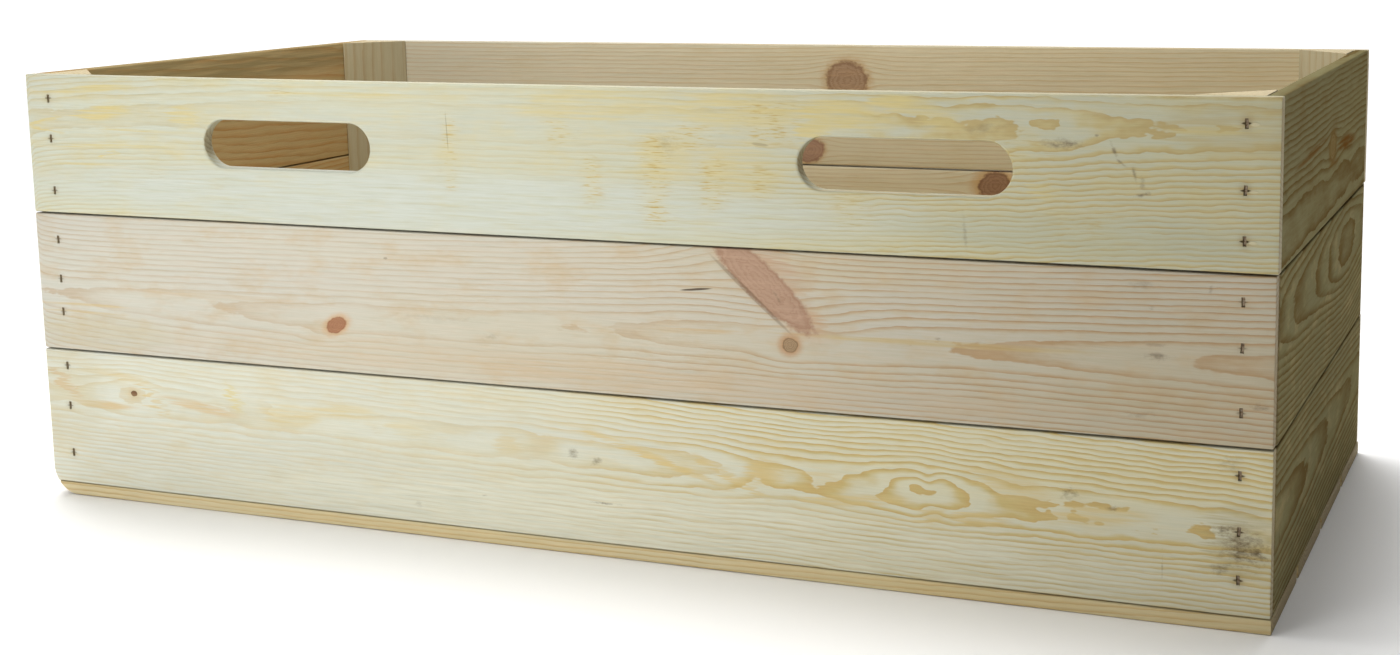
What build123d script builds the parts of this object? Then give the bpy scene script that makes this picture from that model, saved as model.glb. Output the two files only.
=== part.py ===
from build123d import *
import os

# Open pine crate for toys. Four walls of three planks each are nailed to triangular corner posts, and
# stand on a floor of four planks. It has no lid and nothing on it moves. The front wall's top plank has
# two hand holes.
# Frame: +X along the length, the front wall faces -Y, +Z up. The origin is under the middle of the floor.

# Whole crate, in millimetres
LENGTH = 800.0
DEPTH = 380.0

# Planks
BOARD = 9.0  # thickness of every wall plank
PLANK = 90.0  # width of every plank
SEAM = 0.5  # gap between the planks of a wall
FLOOR = 8.5  # thickness of the floor planks
FLOOR_PLANKS = 4
EASE = 0.8  # rounding of the planks' long edges
RIGHT_TRIM = {"bottom": 0.7, "middle": 1.0, "top": 0.2}  # how far the long planks end short of the floor

# Hand holes in the front wall's top plank
HOLE_LENGTH = 122.0
HOLE_HEIGHT = 30.0
HOLE_X = 200.0  # from the crate's middle to each hole's middle
HOLE_BELOW_RIM = 41.0
HOLE_EASE = 1.5

# Corner posts: right-angled prisms with the right angle in the crate's corner
POST_LEG = 36.0
POST_TIP = 1.0  # the two thin edges are blunted by this much

# The front left bottom corner is rounded off, through the front wall and the floor under it
CORNER_RADIUS = 20.0

# T-headed brads, driven below the surface
BRAD_LENGTH = 25.0
BRAD_SHANK = 1.4
BRAD_HEAD = 4.6
BRAD_HEAD_THICKNESS = 1.0
BRAD_SINK = 1.2
WALL_BRAD_INSET = 17.5  # front and back walls: from the crate's end to the brad
END_BRAD_INSET = 13.0  # end walls: from the plank's end to the brad

# Heights of the wall brads above the ground, three to a plank
FRONT_LEFT_HEIGHTS = (29, 61, 88, 124, 146, 172, 204, 238, 264)
FRONT_RIGHT_HEIGHTS = (28, 54, 84, 117, 151, 175, 206, 232, 266)
BACK_LEFT_HEIGHTS = (27, 55, 80, 118, 144, 173, 208, 235, 262)
BACK_RIGHT_HEIGHTS = (31, 53, 82, 116, 147, 170, 209, 233, 260)
END_HEIGHTS = (21, 46, 74, 111, 137, 165, 201, 227, 255)

# Floor brads, driven up into the bottom planks of the walls
LONG_WALL_BRADS_X = (-300, -150, 0, 150, 300)
END_WALL_BRAD_SPREAD = 18.0  # each side of a floor plank's centre line

# Worked out from the above
HALF_LENGTH = LENGTH / 2
HALF_DEPTH = DEPTH / 2
INSIDE_X = HALF_LENGTH - BOARD
INSIDE_Y = HALF_DEPTH - BOARD
LEVELS = {name: FLOOR + i * (PLANK + SEAM) for i, name in enumerate(("bottom", "middle", "top"))}
RIM = LEVELS["top"] + PLANK
FLOOR_PITCH = (DEPTH - PLANK) / (FLOOR_PLANKS - 1)
LEFT, RIGHT = -1, 1
FRONT, BACK = -1, 1


def block(x, y, z):
    """A box between two limits along each axis."""
    size = [high - low for low, high in (x, y, z)]
    middle = [(high + low) / 2 for low, high in (x, y, z)]
    return Pos(*middle) * Box(*size)


def eased(plank, grain):
    """A plank with its long edges rounded."""
    return fillet(plank.edges().filter_by(grain), EASE)


def long_plank(side, level):
    """A plank of the front or back wall, over the crate's whole length."""
    bottom = LEVELS[level]
    outer, inner = side * HALF_DEPTH, side * INSIDE_Y
    x = (-HALF_LENGTH, HALF_LENGTH - RIGHT_TRIM[level])
    return eased(block(x, sorted((outer, inner)), (bottom, bottom + PLANK)), Axis.X)


def end_plank(side, level):
    """A plank of an end wall, between the front and back walls."""
    bottom = LEVELS[level]
    x = sorted((side * HALF_LENGTH, side * INSIDE_X))
    return eased(block(x, (-INSIDE_Y, INSIDE_Y), (bottom, bottom + PLANK)), Axis.Y)


def floor_plank(number):
    """A floor plank, along the crate's length, counted from the front."""
    front = -HALF_DEPTH + number * FLOOR_PITCH
    return eased(block((-HALF_LENGTH, HALF_LENGTH), (front, front + PLANK), (0, FLOOR)), Axis.X)


def corner_post(side_x, side_y):
    """A triangular post from the floor to the rim."""
    outline = Polygon(
        (0, 0),
        (POST_LEG, 0),
        (POST_LEG, POST_TIP),
        (POST_TIP, POST_LEG),
        (0, POST_LEG),
        align=None,
    )
    post = Pos(-INSIDE_X, -INSIDE_Y, FLOOR) * extrude(outline, RIM - FLOOR)
    if side_x == RIGHT:
        post = mirror(post, Plane.YZ)
    if side_y == BACK:
        post = mirror(post, Plane.XZ)
    return post


def with_hand_holes(plank):
    """The plank with its two hand holes, their edges rounded."""
    height = RIM - HOLE_BELOW_RIM
    face = Plane(origin=(0, -HALF_DEPTH, height), x_dir=(1, 0, 0), z_dir=(0, 1, 0))
    for x in (-HOLE_X, HOLE_X):
        slot = extrude(SlotOverall(HOLE_LENGTH, HOLE_HEIGHT), BOARD)
        plank -= face * Pos(x, 0, 0) * slot
    curved = plank.edges().filter_by(GeomType.CIRCLE).filter_by(lambda e: e.radius > HOLE_HEIGHT / 4)
    return fillet(curved.edges() + straight_hole_edges(plank, height), HOLE_EASE)


def straight_hole_edges(plank, height):
    """The straight edges above and below the hand holes, on both faces."""
    straight = plank.edges().filter_by(Axis.X).filter_by(lambda e: e.length < LENGTH / 2)
    return straight.filter_by(lambda e: abs(abs(e.center().Z - height) - HOLE_HEIGHT / 2) < EASE)


def worn_corner():
    """What is missing at the front left bottom corner: a square less its quarter circle."""
    radius = CORNER_RADIUS
    y = (-HALF_DEPTH, -INSIDE_Y)
    square = block((-HALF_LENGTH, -HALF_LENGTH + radius), y, (0, radius))
    centre = Pos(-HALF_LENGTH + radius, (y[0] + y[1]) / 2, radius)
    return square - centre * Rot(90, 0, 0) * Cylinder(radius, BOARD)


def brad(point, drive, head_along):
    """A brad and the space that it was driven through, from a point on a plank's face."""
    face = Plane(origin=point, x_dir=head_along, z_dir=drive)
    head_end = BRAD_SINK + BRAD_HEAD_THICKNESS
    shank_end = BRAD_SINK + BRAD_LENGTH
    head = face * block(*centred(BRAD_HEAD), (BRAD_SINK, head_end))
    shank = face * block(*centred(BRAD_SHANK), (head_end, shank_end))
    mouth = face * block(*centred(BRAD_HEAD), (-BRAD_SINK, BRAD_SINK))
    solid = head + shank
    return solid, solid + mouth


def centred(width):
    """The limits of a brad's section: as wide as given, and as thick as its shank."""
    return (-width / 2, width / 2), (-BRAD_SHANK / 2, BRAD_SHANK / 2)


def long_wall_brads(side, left_heights, right_heights):
    """The brads of the front or back wall, into the corner posts."""
    x = HALF_LENGTH - WALL_BRAD_INSET
    places = [(-x, height) for height in left_heights] + [(x, height) for height in right_heights]
    return [brad((x, side * HALF_DEPTH, height), (0, -side, 0), (0, 0, 1)) for x, height in places]


def end_wall_brads(side):
    """The brads of an end wall, into the corner posts."""
    y = INSIDE_Y - END_BRAD_INSET
    places = [(y * end, height) for end in (FRONT, BACK) for height in END_HEIGHTS]
    return [brad((side * HALF_LENGTH, y, height), (-side, 0, 0), (0, 0, 1)) for y, height in places]


def floor_brads():
    """The brads under the floor: along the long walls, and across the ends of each floor plank."""
    up = (0, 0, 1)
    wall_y = HALF_DEPTH - BOARD / 2
    wall_x = HALF_LENGTH - BOARD / 2
    found = [brad((x, side * wall_y, 0), up, (1, 0, 0)) for side in (FRONT, BACK) for x in LONG_WALL_BRADS_X]
    for number in range(FLOOR_PLANKS):
        middle = -HALF_DEPTH + number * FLOOR_PITCH + PLANK / 2
        for y in (middle - END_WALL_BRAD_SPREAD, middle + END_WALL_BRAD_SPREAD):
            found += [brad((side * wall_x, y, 0), up, (0, 1, 0)) for side in (LEFT, RIGHT)]
    return found


def meet(a, b):
    """Whether two bounding boxes meet."""
    return (
        a.min.X < b.max.X and b.min.X < a.max.X
        and a.min.Y < b.max.Y and b.min.Y < a.max.Y
        and a.min.Z < b.max.Z and b.min.Z < a.max.Z
    )


wood = {}
for level in LEVELS:
    wood[f"front_plank_{level}"] = long_plank(FRONT, level)
    wood[f"back_plank_{level}"] = long_plank(BACK, level)
    wood[f"left_end_plank_{level}"] = end_plank(LEFT, level)
    wood[f"right_end_plank_{level}"] = end_plank(RIGHT, level)
wood["front_plank_top"] = with_hand_holes(wood["front_plank_top"])
for number, place in enumerate(("front", "front_middle", "back_middle", "back")):
    wood[f"floor_plank_{place}"] = floor_plank(number)
for name in ("front_plank_bottom", "floor_plank_front"):
    wood[name] -= worn_corner()
for side_y, place_y in ((FRONT, "front"), (BACK, "back")):
    for side_x, place_x in ((LEFT, "left"), (RIGHT, "right")):
        wood[f"corner_post_{place_y}_{place_x}"] = corner_post(side_x, side_y)

brads = {
    "front_wall_brads": long_wall_brads(FRONT, FRONT_LEFT_HEIGHTS, FRONT_RIGHT_HEIGHTS),
    "back_wall_brads": long_wall_brads(BACK, BACK_LEFT_HEIGHTS, BACK_RIGHT_HEIGHTS),
    "left_end_brads": end_wall_brads(LEFT),
    "right_end_brads": end_wall_brads(RIGHT),
    "floor_brads": floor_brads(),
}

os.makedirs("parts", exist_ok=True)
driven_through = [(space, space.bounding_box()) for group in brads.values() for _, space in group]
for name, piece in wood.items():
    limits = piece.bounding_box()
    piece -= [space for space, box in driven_through if meet(limits, box)]
    export_step(piece, f"parts/{name}.step")
for name, group in brads.items():
    export_step(Compound([solid for solid, _ in group]), f"parts/{name}.step")
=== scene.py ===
"""An open pine toy crate: the looks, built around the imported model. Metres, in the model's own frame."""

from math import cos, pi, radians, sin

import bmesh
import bpy
import numpy as np
from mathutils import Matrix, Vector, noise

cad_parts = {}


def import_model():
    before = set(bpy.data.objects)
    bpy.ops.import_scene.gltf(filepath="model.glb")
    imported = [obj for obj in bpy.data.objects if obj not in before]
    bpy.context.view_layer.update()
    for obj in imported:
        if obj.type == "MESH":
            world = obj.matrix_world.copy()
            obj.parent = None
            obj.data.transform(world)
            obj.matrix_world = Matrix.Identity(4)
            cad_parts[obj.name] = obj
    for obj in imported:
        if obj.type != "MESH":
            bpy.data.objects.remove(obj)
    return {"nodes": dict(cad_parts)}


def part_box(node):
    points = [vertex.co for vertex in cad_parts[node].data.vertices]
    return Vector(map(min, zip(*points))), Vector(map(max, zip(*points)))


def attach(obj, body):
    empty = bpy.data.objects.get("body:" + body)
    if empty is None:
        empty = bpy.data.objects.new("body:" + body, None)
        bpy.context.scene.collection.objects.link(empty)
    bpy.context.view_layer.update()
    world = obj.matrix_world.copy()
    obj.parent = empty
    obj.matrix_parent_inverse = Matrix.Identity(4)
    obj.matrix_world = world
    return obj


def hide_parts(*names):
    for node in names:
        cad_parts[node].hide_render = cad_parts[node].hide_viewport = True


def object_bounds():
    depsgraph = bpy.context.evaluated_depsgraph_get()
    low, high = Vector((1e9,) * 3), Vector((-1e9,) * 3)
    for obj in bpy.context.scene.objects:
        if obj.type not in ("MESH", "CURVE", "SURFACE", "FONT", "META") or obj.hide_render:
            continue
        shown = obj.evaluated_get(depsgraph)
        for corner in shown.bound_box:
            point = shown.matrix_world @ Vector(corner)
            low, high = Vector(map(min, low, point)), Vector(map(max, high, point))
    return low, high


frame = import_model()
CAD_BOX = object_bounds()
MM = 0.001

X, Y, Z = 0, 1, 2
LENGTH = CAD_BOX[1][X] - CAD_BOX[0][X]
LEVELS = ("bottom", "middle", "top")
FLOOR_PLACES = ("front", "front_middle", "back_middle", "back")


# ---------------------------------------------------------------- colours and shader helpers


def paint(red, green, blue):
    """A colour given as 0 to 255 display values, as the linear colour that shaders use."""
    values = [c / 255 for c in (red, green, blue)]
    return tuple(c / 12.92 if c <= 0.04045 else ((c + 0.055) / 1.055) ** 2.4 for c in values) + (1.0,)


class Number:
    """A shader number that can be written in sums. Each sum adds a Math node to its tree."""

    def __init__(self, tree, socket):
        self.tree = tree
        self.socket = socket

    def _with(self, operation, *others, clamp=False):
        node = self.tree.nodes.new("ShaderNodeMath")
        node.operation = operation
        node.use_clamp = clamp
        for place, value in enumerate((self, *others)):
            feed(self.tree, node.inputs[place], value)
        return Number(self.tree, node.outputs[0])

    def __add__(self, other):
        return self._with("ADD", other)

    def __sub__(self, other):
        return self._with("SUBTRACT", other)

    def __mul__(self, other):
        return self._with("MULTIPLY", other)

    def __truediv__(self, other):
        return self._with("DIVIDE", other)

    __radd__ = __add__
    __rmul__ = __mul__

    def power(self, exponent):
        return self._with("POWER", exponent)

    def root(self):
        return self._with("SQRT")

    def fraction(self):
        return self._with("FRACT")

    def size(self):
        return self._with("ABSOLUTE")

    def clamped(self):
        return self._with("ADD", 0.0, clamp=True)

    def falling(self):
        """e to the power of minus this."""
        node = self.tree.nodes.new("ShaderNodeMath")
        node.operation = "EXPONENT"
        feed(self.tree, node.inputs[0], self * -1.0)
        return Number(self.tree, node.outputs[0])

    def between(self, low, high, to_low=0.0, to_high=1.0):
        """This number mapped smoothly from one range to another, and held at its ends."""
        node = self.tree.nodes.new("ShaderNodeMapRange")
        node.interpolation_type = "SMOOTHSTEP"
        for name, value in (("Value", self), ("From Min", low), ("From Max", high)):
            feed(self.tree, node.inputs[name], value)
        for name, value in (("To Min", to_low), ("To Max", to_high)):
            feed(self.tree, node.inputs[name], value)
        return Number(self.tree, node.outputs["Result"])


def feed(tree, socket, value):
    """Links a shader value to a socket, or sets the socket to a plain one."""
    if isinstance(value, Number):
        tree.links.new(value.socket, socket)
    elif isinstance(value, bpy.types.NodeSocket):
        tree.links.new(value, socket)
    else:
        socket.default_value = value


def combined(tree, x, y, z):
    node = tree.nodes.new("ShaderNodeCombineXYZ")
    for socket, value in zip(node.inputs, (x, y, z)):
        feed(tree, socket, value)
    return node.outputs[0]


def cloud(tree, place, scale, detail=2.0, roughness=0.5):
    """Smooth noise about 0, from about -0.5 to 0.5."""
    node = tree.nodes.new("ShaderNodeTexNoise")
    feed(tree, node.inputs["Vector"], place)
    node.inputs["Scale"].default_value = scale
    node.inputs["Detail"].default_value = detail
    node.inputs["Roughness"].default_value = roughness
    return Number(tree, node.outputs["Fac"]) - 0.5


def mixed(tree, amount, one, other, blend="MIX"):
    """One colour turned into another by an amount from 0 to 1."""
    node = tree.nodes.new("ShaderNodeMix")
    node.data_type = "RGBA"
    node.blend_type = blend
    feed(tree, node.inputs["Factor"], amount)
    feed(tree, node.inputs["A"], one)
    feed(tree, node.inputs["B"], other)
    return node.outputs["Result"]


def dimmed(tree, colour, tone):
    """A colour times a brightness."""
    return mixed(tree, 1.0, colour, combined(tree, tone, tone, tone), "MULTIPLY")


# ---------------------------------------------------------------- pine

CRACK = (70, 52, 34)
NAIL_STAIN, NAIL_SPLIT, SPLINTER = (150, 124, 80), (78, 60, 36), (222, 212, 176)
SPLINTERED = 0.95  # how strongly torn the wood at a brad is before a splinter stands up beside it
END_GRAIN = (160, 142, 104)
BASE_TONE = 0.89  # the colours' middle brightness, before the fibres vary it


class Knot:
    """Where a branch ran out through a face: its middle, half sizes along its own two ways, and turn."""

    def __init__(self, u, v, long, wide, turn=0.0, heart=(150, 105, 75), edge=(96, 64, 44),
                 halo=(200, 150, 96), reach=3.0, glow=0.75, parting=0.93, outer=None):
        self.u, self.v, self.long, self.wide, self.turn = u * MM, v * MM, long * MM, wide * MM, turn
        self.heart, self.edge, self.halo = heart, edge, halo
        self.reach, self.glow, self.parting = reach, glow, parting
        self.outer = outer  # True shows only on the outer face, False only on the inner one, None on both


def ellipse(along, across, u, v, long, wide, turn=0.0):
    """1 on the outline of an ellipse, given in millimetres, 0 in its middle and growing outside it."""
    du, dv = along - u * MM, across - v * MM
    if turn:
        c, s = cos(turn), sin(turn)
        du, dv = du * c + dv * s, dv * c - du * s
    return (du / (long * MM)).power(2.0) + (dv / (wide * MM)).power(2.0)


def curve(value, points, low=-LENGTH / 2, high=LENGTH / 2):
    """A smooth curve through points, given as places in millimetres and values."""
    heights = [p[1] for p in points]
    bottom, top = min(heights), max(heights)
    if top - bottom < 1e-9:
        return bottom
    node = value.tree.nodes.new("ShaderNodeFloatCurve")
    line = node.mapping.curves[0]
    places = [((p[0] * MM - low) / (high - low), (p[1] - bottom) / (top - bottom)) for p in points]
    line.points[0].location = places[0]
    line.points[-1].location = places[-1]
    for place in places[1:-1]:
        line.points.new(*place)
    node.mapping.update()
    feed(value.tree, node.inputs["Value"], (value - low) / (high - low))
    return Number(value.tree, node.outputs[0]) * (top - bottom) + bottom


class Wood:
    """How one plank's wood looks, in millimetres. A curve is points of (place along the plank, value).

    pale, pale_far: the early wood's colour at the plank's low and high ends. late, deep: the late wood's.
    ridge: the curve of where the log's middle runs across the face.
    flat: half the width of the band there in which the rings hardly climb.
    pith: how far under the outer face the middle is. growth: the width of a year's ring.
    rise: the curve of how many rings the face has climbed.
    bumps: (u, v, half length, half width, rings) where the rings bulge through the face.
    bulge: how far they bulge everywhere. waves: the curve of their fine waviness, in rings.
    lines: the curve of how strong the ring lines are. late_from: where in a ring late wood starts.
    streaks: how strong the streaks of late wood are.
    mottle: how strong the patches of the colours grey and patch are, all over.
    patches: (u, v, half length, half width, strength, turn) of the colour patch, or of a colour given last,
    broken into streaks along the grain.
    dashes: (u, low, high, half width, strength) of columns of short torn fibres, in the colour dash.
    marks: (u, v, half length, half width, strength, turn) of dirt or bruises, in the colour mark.
    slits: the same, for thin dark cracks.
    rough: how deep the fibres' relief is. seed: where the noise starts, so that planks differ.
    gloss: the specular level.

    Three brightness factors are painted light and shade for this scene's lamps, and are no property of pine:
    edge, the narrow edges beside the faces, darkened by default and brightened on the floor planks; shade,
    the high end darkened beside the low one; and outside, the outer face darkened beside the inner one. They
    stay with the plank in any light.
    """

    pale, pale_far = (212, 205, 182), (205, 194, 164)
    late, deep = (202, 178, 128), (190, 150, 96)
    grey = (196, 199, 188)
    ridge = ((-400, 0.0), (400, 0.0))
    flat, pith, growth, rise = 6.0, 25.0, 2.3, ((-400, 0.5), (400, 0.5))
    bumps, knots, patches, dashes, marks, slits = (), (), (), (), (), ()
    bulge, waves, lines, late_from = 0.25, ((-400, 0.0), (400, 0.0)), ((-400, 0.8), (400, 0.8)), 0.5
    patch, dash, mark = (206, 184, 132), (200, 168, 104), (120, 108, 88)
    streaks, mottle, rough, seed, edge, shade, gloss, outside = 0.3, 0.15, 0.5, 0.0, 0.72, 1.0, 0.1, 1.0

    def __init__(self, **changes):
        for name, value in changes.items():
            if not hasattr(Wood, name):
                raise ValueError(f"wood has no {name}")
            setattr(self, name, value)


def pine(name, axes, face, inward, wood, nailed=()):
    """A plank's material. axes are the model's axes along the grain, across the face and through the plank.

    face is where the outer face is along axes[2], and inward is 1 or -1, the way from it into the wood.
    nailed: (u, v, strength) of the stained and split wood at each brad, with u and v in millimetres.
    """
    material = bpy.data.materials.new(name)
    material.use_nodes = True
    tree = material.node_tree
    shader = tree.nodes["Principled BSDF"]
    place = tree.nodes.new("ShaderNodeTexCoord").outputs["Object"]
    parts = tree.nodes.new("ShaderNodeSeparateXYZ")
    tree.links.new(place, parts.inputs[0])
    along, across, through = (Number(tree, parts.outputs[a]) for a in axes)
    under = (through - face) * inward
    seed = wood.seed

    def noise_at(stretch, scale, detail=2.0, roughness=0.5, shift=0.0):
        stretched = combined(tree, along * stretch + seed, across + shift, under * 0.7)
        return cloud(tree, stretched, scale, detail, roughness)

    # Lines part round the knots
    line = across - (curve(along, wood.ridge) * MM)
    masks = []
    for number, knot in enumerate(wood.knots):
        squared = ellipse(along, across, knot.u / MM, knot.v / MM, knot.long / MM, knot.wide / MM, knot.turn)
        shape = squared.root() + noise_at(0.9, 260.0, 3.0, 0.6, number * 0.1) * 0.45
        if knot.parting:
            wide = knot.reach * 1.6 * knot.long / MM
            high = knot.reach * max(knot.wide, knot.long * 0.55) / MM
            near = ellipse(along, across, knot.u / MM, knot.v / MM, wide, high, knot.turn * 0.6).falling()
            line = line - (across - knot.v) * near * knot.parting
        masks.append((knot, shape))

    line = (line.power(2.0) + (wood.flat * MM) ** 2).root() - wood.flat * MM
    depth = under * -1.0 + wood.pith * MM
    rings = ((line.power(2.0) + depth.power(2.0)).root() - wood.pith * MM) / (wood.growth * MM)
    rings = rings + curve(along, wood.rise)
    rings = rings + noise_at(0.32, 52.0, 2.0, 0.45) * (3 * wood.bulge)
    rings = rings + noise_at(0.3, 150.0, 2.0, 0.5, 0.3) * 0.3
    rings = rings + noise_at(0.3, 420.0, 2.0, 0.5, 0.1) * 0.2
    waves = curve(along, wood.waves)
    if isinstance(waves, Number):
        rings = rings + noise_at(0.5, 100.0, 2.0, 0.5, 0.7) * waves
    for u, v, long, wide, amount in wood.bumps:
        rings = rings + ellipse(along, across, u, v, long, wide).falling() * amount
    phase = rings.fraction()
    late = phase.between(wood.late_from, 0.9) * phase.between(0.945, 0.995, 1.0, 0.0)
    fibre = noise_at(0.035, 1100.0, 3.0, 0.65)
    strand = noise_at(0.045, 420.0, 3.0, 0.6, 0.2)
    fade = noise_at(0.12, 60.0, 2.0, 0.5, 0.5) * 1.8 + noise_at(0.1, 300.0, 2.0, 0.6, 0.5) * 1.4 + 0.9
    lines = (late * fade.clamped() * curve(along, wood.lines)).clamped()
    soft = noise_at(0.16, 22.0, 2.0, 0.5, 0.9)

    # Early wood, its streaks, the rings' late wood
    colour = mixed(tree, (along / LENGTH + 0.5).clamped(), paint(*wood.pale), paint(*wood.pale_far))
    colour = mixed(tree, (soft * 3.0 * wood.mottle + wood.mottle * 0.5).clamped(), colour, paint(*wood.grey))
    streaky = (strand * 2.6 * wood.streaks + wood.streaks * 0.15).clamped()
    colour = mixed(tree, streaky, colour, paint(*wood.late))
    blotch = noise_at(0.45, 64.0, 3.0, 0.65, 0.4)
    colour = mixed(tree, (blotch * 3.4 * wood.mottle).clamped(), colour, paint(*wood.patch))
    tint = mixed(tree, phase.between(0.72, 0.93) * 0.5, paint(*wood.late), paint(*wood.deep))
    colour = mixed(tree, lines, colour, tint)

    broken = (strand * 3.2 + 0.75).clamped()
    for u, v, long, wide, amount, turn, *other in wood.patches:
        ragged = along + strand * 0.05
        spread = ellipse(ragged, across + soft * 0.008, u, v, long, wide, turn).between(0.3, 1.35, 1.0, 0.0)
        colour = mixed(tree, spread * broken * amount, colour, paint(*(other[0] if other else wood.patch)))
    if wood.dashes:
        short = noise_at(0.1, 900.0, 2.0, 0.6, 0.4).between(0.0, 0.22)
        for u, low, high, half, amount in wood.dashes:
            column = ((along - u * MM + noise_at(0.5, 90.0) * 0.008) / (half * MM)).power(2.0).falling()
            column = column * across.between(low * MM, (low + 9) * MM)
            column = column * across.between((high - 9) * MM, high * MM, 1.0, 0.0)
            colour = mixed(tree, (column * short * (amount * 1.3)).clamped(), colour, paint(*wood.dash))
            colour = mixed(tree, column * amount * 0.24, colour, paint(*wood.patch))

    raised = lines * 0.3 + fibre * (0.5 + wood.rough * 0.5) + strand * wood.rough * 0.5
    for knot, shape in masks:
        shows = 1.0
        if knot.outer:
            shows = under.between(3 * MM, 5.5 * MM, 1.0, 0.0)
        elif knot.outer is not None:
            shows = under.between(3.5 * MM, 6 * MM)
        glow = shape.between(0.8, 1.0 + 0.45 * knot.reach, knot.glow, 0.0) * shows
        colour = mixed(tree, glow, colour, paint(*knot.halo))
        heart = shape.between(0.86, 1.06, 1.0, 0.0) * shows
        year = (shape * 4.5 + fibre * 1.2).fraction().between(0.25, 0.95) * 0.4
        inside = mixed(tree, year, paint(*knot.heart), paint(*knot.edge))
        inside = mixed(tree, shape.between(0.68, 0.98) * 0.6, inside, paint(*knot.edge))
        inside = mixed(tree, (strand * 2.2).clamped() * 0.5, inside, paint(*knot.halo))
        colour = mixed(tree, heart, colour, inside)
        raised = raised + heart * 0.4
    if wood.marks:
        dirt = noise_at(0.55, 330.0, 4.0, 0.72, 0.6)
        for u, v, long, wide, amount, turn in wood.marks:
            spread = ellipse(along, across, u, v, long, wide, turn).falling()
            spots = (spread * 1.1 + dirt * 3.2 - 0.5).clamped() * (spread * 1.2).clamped() * amount
            colour = mixed(tree, spots.clamped(), colour, paint(*wood.mark))
    for u, v, long, wide, amount, turn in wood.slits:
        outline = ellipse(along, across + fibre * 0.0006, u, v, long, wide, turn)
        thin = outline.between(0.4, 1.15, 1.0, 0.0) * amount
        colour = mixed(tree, thin, colour, paint(*CRACK))
        raised = raised - thin * 2.0

    for u, v, strength in nailed:
        stain = ellipse(along, across, u, v, 3.0, 3.6).falling() * (strength * 0.55)
        colour = mixed(tree, stain, colour, paint(*NAIL_STAIN))
        opening = ellipse(along, across + fibre * 0.0008, u, v, 2.9, 0.75)
        split = opening.between(0.3, 1.2, 1.0, 0.0) * strength
        colour = mixed(tree, split.clamped(), colour, paint(*NAIL_SPLIT))
        if strength > SPLINTERED:
            beside = ellipse(along, across + strand * 0.002, u + 4.2, v - 0.6, 2.6, 1.0)
            splinter = beside.between(0.3, 1.2, 0.6, 0.0)
            colour = mixed(tree, splinter, colour, paint(*SPLINTER))
            raised = raised + splinter * 2.0

    # Fine fibres, the painted shade and light of the brightness factors, and the ends of the plank, where the
    # pores show
    tone = fibre * 0.22 + strand * 0.16 + noise_at(0.3, 9.0, 2.0, 0.5, 0.8) * 0.07
    varied = combined(tree, tone + BASE_TONE, tone + BASE_TONE, tone * 1.35 + BASE_TONE)
    colour = mixed(tree, 1.0, colour, varied, "MULTIPLY")
    # Painted shade: the colour darkens towards the plank's high end, where the light falls off.
    if wood.shade < 1.0:
        colour = dimmed(tree, colour, along.between(-50 * MM, LENGTH / 2, 1.0, wood.shade))
    # Painted shade: the outer face comes out darker than the inner one.
    if wood.outside < 1.0:
        colour = dimmed(tree, colour, under.between(2 * MM, 6 * MM, wood.outside, 1.0))
    facing = tree.nodes.new("ShaderNodeSeparateXYZ")
    tree.links.new(tree.nodes.new("ShaderNodeNewGeometry").outputs["Normal"], facing.inputs[0])
    end = Number(tree, facing.outputs[axes[0]]).size().between(0.7, 0.95)
    # Painted shade and light: the narrow edges are darkened, and brightened where edge is above 1, as on the
    # floor planks.
    painted_edge_light_and_shade = Number(tree, facing.outputs[axes[1]]).size().between(0.35, 0.9, 1.0, wood.edge)
    colour = dimmed(tree, colour, painted_edge_light_and_shade)
    pores = cloud(tree, place, 700.0, 3.0, 0.7)
    colour = mixed(tree, end * 0.6, colour, paint(*END_GRAIN))
    end_tone = pores * 0.7 + 0.95 - late * 0.18
    colour = mixed(tree, end, colour, combined(tree, end_tone, end_tone, end_tone), "MULTIPLY")
    tree.links.new(colour, shader.inputs["Base Color"])

    bump = tree.nodes.new("ShaderNodeBump")
    bump.inputs["Strength"].default_value = 0.6
    bump.inputs["Distance"].default_value = 0.0003
    feed(tree, bump.inputs["Height"], raised + pores * 0.5 * end)
    tree.links.new(bump.outputs[0], shader.inputs["Normal"])
    feed(tree, shader.inputs["Roughness"], (fibre * 0.3 + 0.68 - lines * 0.12).clamped())
    shader.inputs["Specular IOR Level"].default_value = wood.gloss
    return material


def steel():
    """Dull brad heads, darkened with a little rust."""
    material = bpy.data.materials.new("brad_steel")
    material.use_nodes = True
    tree = material.node_tree
    shader = tree.nodes["Principled BSDF"]
    place = tree.nodes.new("ShaderNodeTexCoord").outputs["Object"]
    rust = cloud(tree, place, 900.0, 3.0, 0.6).between(-0.1, 0.25)
    tree.links.new(mixed(tree, rust, paint(132, 118, 98), paint(104, 74, 50)), shader.inputs["Base Color"])
    feed(tree, shader.inputs["Roughness"], rust * 0.35 + 0.45)
    shader.inputs["Metallic"].default_value = 0.7
    bump = tree.nodes.new("ShaderNodeBump")
    bump.inputs["Distance"].default_value = 0.0001
    feed(tree, bump.inputs["Height"], rust)
    tree.links.new(bump.outputs[0], shader.inputs["Normal"])
    return material


# ---------------------------------------------------------------- meshes


def rounded(corners, radius, segments=4):
    """A closed outline through convex corners, given anticlockwise, with each one rounded."""
    points = []
    for i, corner in enumerate(corners):
        here = Vector(corner)
        back = (Vector(corners[i - 1]) - here).normalized()
        ahead = (Vector(corners[(i + 1) % len(corners)]) - here).normalized()
        half = back.angle(ahead) / 2
        centre = here + (back + ahead).normalized() * (radius / sin(half))
        first = Vector((back.y, -back.x)) * -radius
        if first.dot(here - centre) < 0:
            first = -first
        sweep = pi - 2 * half
        for k in range(segments + 1):
            points.append(centre + Matrix.Rotation(sweep * k / segments, 2) @ first)
    return points


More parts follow.
